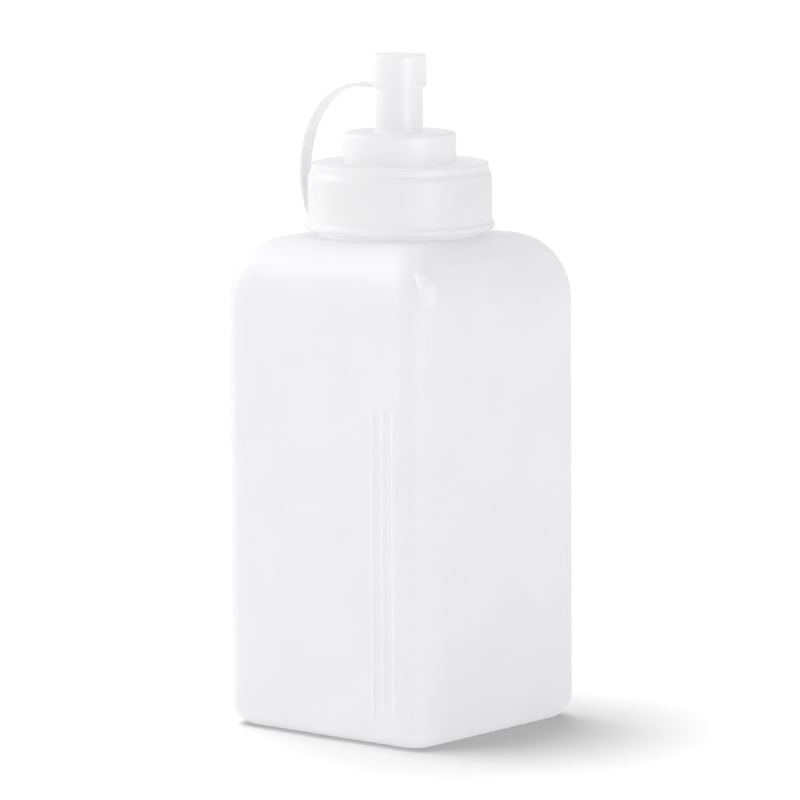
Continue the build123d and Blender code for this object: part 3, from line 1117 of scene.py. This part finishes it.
@dataclass
class Strap:
    """Flexible band from the bead of the screw cap to the rim of the tip cap.

    Its middle line is an arc that is widest at one level, with a tab to the tip cap and a curved
    lead to the bead. It is cut midway between its hinges, so that each length holds one hinge.
    """

    bearing: float = 13.0
    width: float = 4.8
    thickness: float = 0.8
    edge_round: float = 0.3
    start: float = 10.05
    reach: float = 24.6
    widest: float = 127.5
    root_radius: float = 20.9
    root_rise: float = 0.65
    root_angle: float = 25.0
    root_pull: float = 1.6
    root_zone: float = 1.2
    root_wall: float = 22.0
    root_fillet: float = 0.7
    tip_radius: float = 6.0
    tip_wall: float = 6.35
    tab_start: float = 9.0
    fillet: float = 1.1
    root_share: float = 0.6
    tip_share: float = 0.3
    bend_reach: float = 6.0
    rings_per_piece: int = 26
    fine_step: float = 0.08

    def __post_init__(self) -> None:
        """Reads the hinges of the strap from the frame and measures the middle line."""
        self.top = lowest("tip_cap") + self.thickness / 2
        self.root_level = lowest("screw_cap") + self.root_rise
        bearing = math.radians(self.bearing)
        self.outward = np.array((-math.cos(bearing), -math.sin(bearing), 0.0))
        self.across = np.array((-math.sin(bearing), math.cos(bearing), 0.0))
        hinges = [joint for joint in frame["joints"] if joint["type"] == "hinge"]
        self.hinges = [joint for joint in hinges if tuple(joint["axis"])[2] == 0]
        self.line = self.middle_line()
        steps = np.linalg.norm(np.diff(self.line, axis=0), axis=1)
        self.run = np.concatenate(((0.0,), np.cumsum(steps)))

    def middle_line(self) -> np.ndarray:
        """Middle of the closed strap as rows of distance from the axis and height.

        Returns:
            Fine points from the bead of the screw cap to the wall of the tip cap.
        """
        arc_steps, lead_steps, tab_steps = 240, 30, 20
        wide, tall = self.reach - self.start, self.top - self.widest
        turns = np.radians(np.linspace(-self.root_angle, 90.0, arc_steps))
        arc = np.column_stack((self.start + wide * np.cos(turns), self.widest + tall * np.sin(turns)))
        heading = arc[0] - arc[1]
        heading /= np.linalg.norm(heading)
        root = np.array((self.root_radius, self.root_level))
        first, second = root + (self.root_pull, 0.0), arc[0] + heading * self.root_pull
        share = np.linspace(0.0, 1.0, lead_steps)[:, None]
        rest = 1 - share
        lead = (
            rest ** 3 * root + 3 * rest ** 2 * share * first
            + 3 * rest * share ** 2 * second + share ** 3 * arc[0]
        )
        out = np.linspace(self.start, self.tip_radius, tab_steps)
        tab = np.column_stack((out, np.full(tab_steps, self.top)))
        return np.concatenate((lead, arc[1:], tab[1:]))

    def hinge_run(self, joint: dict) -> float:
        """Distance along the strap at which a hinge of the frame crosses it."""
        place = np.array(joint["pos_m"]) / MM
        flat = np.array((place @ self.outward, place[2]))
        return float(self.run[np.argmin(np.linalg.norm(self.line - flat, axis=1))])

    def place(self, run: float) -> tuple[np.ndarray, np.ndarray]:
        """Point and outward normal of the middle line.

        Args:
            run: Distance along the strap.

        Returns:
            Both, in the strap's plane.
        """
        look = 0.2
        ahead, behind = min(run + look, self.run[-1]), max(run - look, 0.0)
        here, front, back = (
            np.array([np.interp(value, self.run, self.line[:, axis]) for axis in (0, 1)])
            for value in (run, ahead, behind)
        )
        heading = (front - back) / np.linalg.norm(front - back)
        return here, np.array((heading[1], -heading[0]))

    def ring(self, run: float) -> np.ndarray:
        """Points round the strap at one place, with fillets where it meets the caps.

        Args:
            run: Distance along the strap.

        Returns:
            The points in the row's frame.
        """
        here, normal = self.place(run)
        near_tip, near_root = here[1] > self.widest, here[1] < self.root_level + self.root_zone
        tip_swell = self.swell(here[0] - self.tip_wall, self.fillet) if near_tip else 0.0
        root_swell = self.swell(here[0] - self.root_wall, self.root_fillet) if near_root else 0.0
        half = self.thickness / 2
        outer, inner = half + tip_swell, half + root_swell * self.root_share
        side = self.width / 2 + tip_swell * self.tip_share + root_swell
        radius = self.edge_round
        edges = ((side, outer), (-side, outer), (-side, -inner), (side, -inner))
        points = []
        for quarter, (wide, high) in enumerate(edges):
            for step in range(5):
                angle = math.pi / 2 * (quarter + step / 4)
                off = wide - math.copysign(radius, wide) + radius * math.cos(angle)
                up = high - math.copysign(radius, high) + radius * math.sin(angle)
                flat = here + normal * up - np.array((self.hug(here, off), 0.0))
                points.append(self.outward * flat[0] + self.across * off + np.array((0.0, 0.0, flat[1])))
        return np.array(points)

    def hug(self, here: np.ndarray, off: float) -> float:
        """How far a point beside the middle line moves in, so that the tab meets the round tip cap.

        Args:
            here: The point of the middle line.
            off: Distance to the side of it.

        Returns:
            The distance towards the axis.
        """
        if here[1] < self.widest:
            return 0.0
        share = float(smooth((self.tab_start - here[0]) / (self.tab_start - self.tip_wall)))
        return share * (self.tip_wall - math.sqrt(self.tip_wall ** 2 - off ** 2))

    @staticmethod
    def swell(distance: float, radius: float) -> float:
        """How far a fillet of a radius stands off at a distance from the wall that it runs into."""
        if distance >= radius:
            return 0.0
        return radius - math.sqrt(radius ** 2 - (radius - max(distance, 0.0)) ** 2)

    def build(self) -> list[bpy.types.Object]:
        """Makes the lengths of strap, each across its hinge, and hides the strap's links."""
        hinge_runs = [self.hinge_run(joint) for joint in self.hinges]
        middles = ((low + high) / 2 for low, high in zip(hinge_runs, hinge_runs[1:]))
        cuts = [0.0, *middles, float(self.run[-1])]
        made = []
        for index, joint in enumerate(self.hinges):
            rings = [self.ring(run) for run in self.stops(cuts[index], cuts[index + 1])]
            piece = skin(f"strap_band_{index + 1}", np.stack(rings), Ends.CAPS)
            start = self.world(max(cuts[index], hinge_runs[index] - self.bend_reach))
            end = self.world(min(cuts[index + 1], hinge_runs[index] + self.bend_reach))
            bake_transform(piece)
            link = f"strap_link_{min(index + 1, len(self.hinges) - 1)}"
            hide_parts(link)
            dress(piece, STRAP_FINISH)
            made.append(piece)
        return made

    def stops(self, start: float, end: float) -> np.ndarray:
        """Distances of the rings of one length, close together in the fillets at the strap's ends."""
        whole = float(self.run[-1])
        head = self.fillet + self.tip_wall - self.tip_radius
        found = np.concatenate((
            np.linspace(start, end, self.rings_per_piece),
            np.arange(whole - head, whole, self.fine_step),
            np.arange(0.0, self.root_fillet + self.root_zone, self.fine_step),
        ))
        found = found[(found >= start) & (found <= end)]
        return np.unique(np.round(found, decimals=4))

    def world(self, run: float) -> tuple[float, ...]:
        """Point of the middle line in the row's frame, in metres."""
        here, _ = self.place(run)
        return tuple((self.outward * here[0] + np.array((0.0, 0.0, here[1]))) * MM)


# The studio


@dataclass(frozen=True)
class FloorSun:
    """Far wide light that reaches the floor alone, so that the bottle's shadow shows there.

    Attributes:
        bearing: Degrees from +X of the way that the light travels.
        rise: Degrees above the floor at which it stands.
        softness: Width of the light in degrees.
        strength: Light that falls on a surface square to it, where 1 shows a white one white.
    """

    bearing: float
    rise: float
    softness: float
    strength: float


@dataclass(frozen=True)
class SoftBox:
    """Lamp that faces the bottle: its middle, its width and height, and its power in watts."""

    name: str
    place: tuple[float, float, float]
    size: tuple[float, float]
    power: float


@dataclass
class Studio:
    """White floor and surroundings, soft lamps, and the camera of the photograph."""

    azimuth: float = 39.979
    pitch: float = 7.797
    roll: float = -0.315
    distance: float = 1300.0
    aim_across: float = -0.238
    aim_height: float = 75.244
    lens: float = 252.39
    sensor: float = 36.0
    sight: float = 50.0
    floor_size: float = 24000.0
    floor_white: float = 0.25
    floor_glow: float = 1.36
    floor_share: float = 0.6
    sky: float = 0.82
    sky_tilt: float = 0.35
    sky_rise: float = 30.0
    left_tint: tuple[float, float, float] = (1.0, 1.0, 1.0)
    right_tint: tuple[float, float, float] = (0.98, 0.962, 1.0)
    floor_suns: tuple[FloorSun, ...] = (
        FloorSun(bearing=-35.0, rise=60.0, softness=40.0, strength=1.7),
        FloorSun(bearing=30.0, rise=70.0, softness=30.0, strength=2.2),
    )
    boxes: tuple[SoftBox, ...] = (
        SoftBox("key_box", place=(-950.0, -300.0, 650.0), size=(700.0, 700.0), power=3.1),
        SoftBox("top_box", place=(0.0, 0.0, 1200.0), size=(800.0, 800.0), power=1.2),
        SoftBox("right_box", place=(1100.0, -150.0, 300.0), size=(300.0, 900.0), power=1.1),
    )
    streak_box: SoftBox = SoftBox(
        "streak_box", place=(1067.0, -266.0, 300.0), size=(150.0, 900.0), power=3.0
    )

    def camera(self) -> None:
        """Stands the camera where the photograph was taken from."""
        turn, tip, roll = (math.radians(value) for value in (self.azimuth, self.pitch, self.roll))
        back = Vector((math.sin(turn) * math.cos(tip), -math.cos(turn) * math.cos(tip), math.sin(tip)))
        right = Vector((math.cos(turn), math.sin(turn), 0.0))
        up = back.cross(right)
        rolled_right = math.cos(roll) * right + math.sin(roll) * up
        rolled_up = math.cos(roll) * up - math.sin(roll) * right
        eye = Vector((0.0, 0.0, self.aim_height)) + right * self.aim_across + back * self.distance
        data = bpy.data.cameras.new("camera")
        data.lens = self.lens
        data.sensor_width = self.sensor
        data.clip_end = self.sight
        made = put_in_scene("camera", data)
        turned = Matrix((rolled_right, rolled_up, back)).transposed().to_4x4()
        made.matrix_world = Matrix.Translation(eye * MM) @ turned
        bpy.context.scene.camera = made

    def floor(self) -> bpy.types.Object:
        """Lays the pale floor, which keeps the shadow and throws even light back up."""
        half = self.floor_size * MM / 2
        mesh = bpy.data.meshes.new("floor")
        corners = [(-half, -half, 0.0), (half, -half, 0.0), (half, half, 0.0), (-half, half, 0.0)]
        mesh.from_pydata(corners, [], [(0, 1, 2, 3)])
        made = put_in_scene("floor", mesh)
        paint = bpy.data.materials.new("floor_white")
        paint.use_nodes = True
        paint.node_tree.nodes.clear()
        nodes = NodeTree(paint.node_tree)
        matt = nodes.add("ShaderNodeBsdfDiffuse", {"Color": grey(self.floor_white)})
        glow = nodes.add("ShaderNodeEmission", {"Strength": self.floor_glow})
        path = nodes.add("ShaderNodeLightPath").outputs
        share = nodes.math("MULTIPLY", path["Is Diffuse Ray"], self.floor_share)
        shown = nodes.mix(Mixed.SHADER, share, matt.outputs[0], glow.outputs[0])
        nodes.add("ShaderNodeOutputMaterial", {"Surface": shown})
        mesh.materials.append(paint)
        return made

    @staticmethod
    def shine_along(lamp: bpy.types.Object, way: Vector) -> None:
        """Turns a lamp so that its light travels along a direction."""
        lamp.rotation_mode = "QUATERNION"
        lamp.rotation_quaternion = way.to_track_quat("-Z", "Y")

    @staticmethod
    def light_only(lamp: bpy.types.Object, pieces: Sequence[bpy.types.Object]) -> None:
        """Lets a lamp light nothing but some pieces."""
        lit = bpy.data.collections.new(f"lit_by_{lamp.name}")
        for piece in pieces:
            lit.objects.link(piece)
        lamp.light_linking.receiver_collection = lit

    def floor_sun(self, sun: FloorSun, floor: bpy.types.Object) -> None:
        """Adds one light that reaches the floor alone.

        Args:
            sun: Its direction, width and strength.
            floor: The floor.
        """
        data = bpy.data.lights.new("floor_sun", "SUN")
        data.energy = math.pi * sun.strength
        data.angle = math.radians(sun.softness)
        made = put_in_scene("floor_sun", data)
        bearing, rise = math.radians(sun.bearing), math.radians(sun.rise)
        level = math.cos(rise)
        falls = Vector((math.cos(bearing) * level, math.sin(bearing) * level, -math.sin(rise)))
        self.shine_along(made, falls)
        self.light_only(made, [floor])

    def lamp(self, box: SoftBox) -> bpy.types.Object:
        """Hangs one soft box and gives its object."""
        data = bpy.data.lights.new(box.name, "AREA")
        data.shape = "RECTANGLE"
        data.size, data.size_y = (side * MM for side in box.size)
        data.energy = box.power
        made = put_in_scene(box.name, data)
        made.location = Vector(box.place) * MM
        self.shine_along(made, Vector((0.0, 0.0, self.aim_height * MM)) - made.location)
        made.visible_camera = False
        return made

    def streak(self, pieces: Sequence[bpy.types.Object]) -> None:
        """Hangs a narrow box that shows only as a soft streak in the gloss of some pieces."""
        made = self.lamp(self.streak_box)
        made.visible_diffuse = False
        made.visible_transmission = False
        self.light_only(made, pieces)

    @staticmethod
    def seen(nodes: NodeTree) -> bpy.types.NodeSocket:
        """1 for rays that show the background itself: seen straight, in gloss or through plastic."""
        path = nodes.add("ShaderNodeLightPath").outputs
        some = nodes.math("MAXIMUM", path["Is Camera Ray"], path["Is Glossy Ray"])
        return nodes.math("MAXIMUM", some, path["Is Transmission Ray"])

    def world(self) -> None:
        """Sets soft light from all round, brighter at the left, and white where the camera sees it."""
        made = bpy.data.worlds.new("surroundings")
        made.use_nodes = True
        made.node_tree.nodes.clear()
        bpy.context.scene.world = made
        nodes = NodeTree(made.node_tree)
        shown = self.seen(nodes)
        turn, rise = math.radians(self.azimuth), math.radians(self.sky_rise)
        level = -math.cos(rise)
        left = (math.cos(turn) * level, math.sin(turn) * level, math.sin(rise))
        inputs = {0: nodes.place("Generated"), 1: left}
        leftward = nodes.add("ShaderNodeVectorMath", inputs, operation="DOT_PRODUCT").outputs["Value"]
        share = nodes.spread(leftward, low=-1.0, high=1.0)
        tint = nodes.mix(Mixed.COLOUR, share, (*self.right_tint, 1.0), (*self.left_tint, 1.0))
        strength = nodes.math("ADD", nodes.math("MULTIPLY", leftward, self.sky_tilt), self.sky)
        sky = nodes.add("ShaderNodeBackground", {
            "Color": nodes.mix(Mixed.COLOUR, shown, tint, grey(1.0)),
            "Strength": nodes.mix(Mixed.NUMBER, shown, strength, 1.0),
        })
        nodes.add("ShaderNodeOutputWorld", {"Surface": sky.outputs[0]})

    def build(self, closure: Sequence[bpy.types.Object]) -> None:
        """Sets up the view, the camera, the floor and the light.

        Args:
            closure: The round pieces that show the streak.
        """
        bpy.context.scene.view_settings.view_transform = "Standard"
        self.camera()
        floor = self.floor()
        for sun in self.floor_suns:
            self.floor_sun(sun, floor)
        self.world()
        for box in self.boxes:
            self.lamp(box)
        self.streak(closure)
        LOG.info("studio ready")


def main() -> None:
    """Builds the bottle, its closure, its strap and the studio."""
    logging.basicConfig(level=logging.INFO, format="%(name)s: %(message)s")
    BottleShell().build()
    closure = Closure()
    turned = [closure.spout(), closure.screw_cap(), closure.tip_cap()]
    Strap().build()
    Studio().build(turned)


if __name__ == "__main__":
    main()
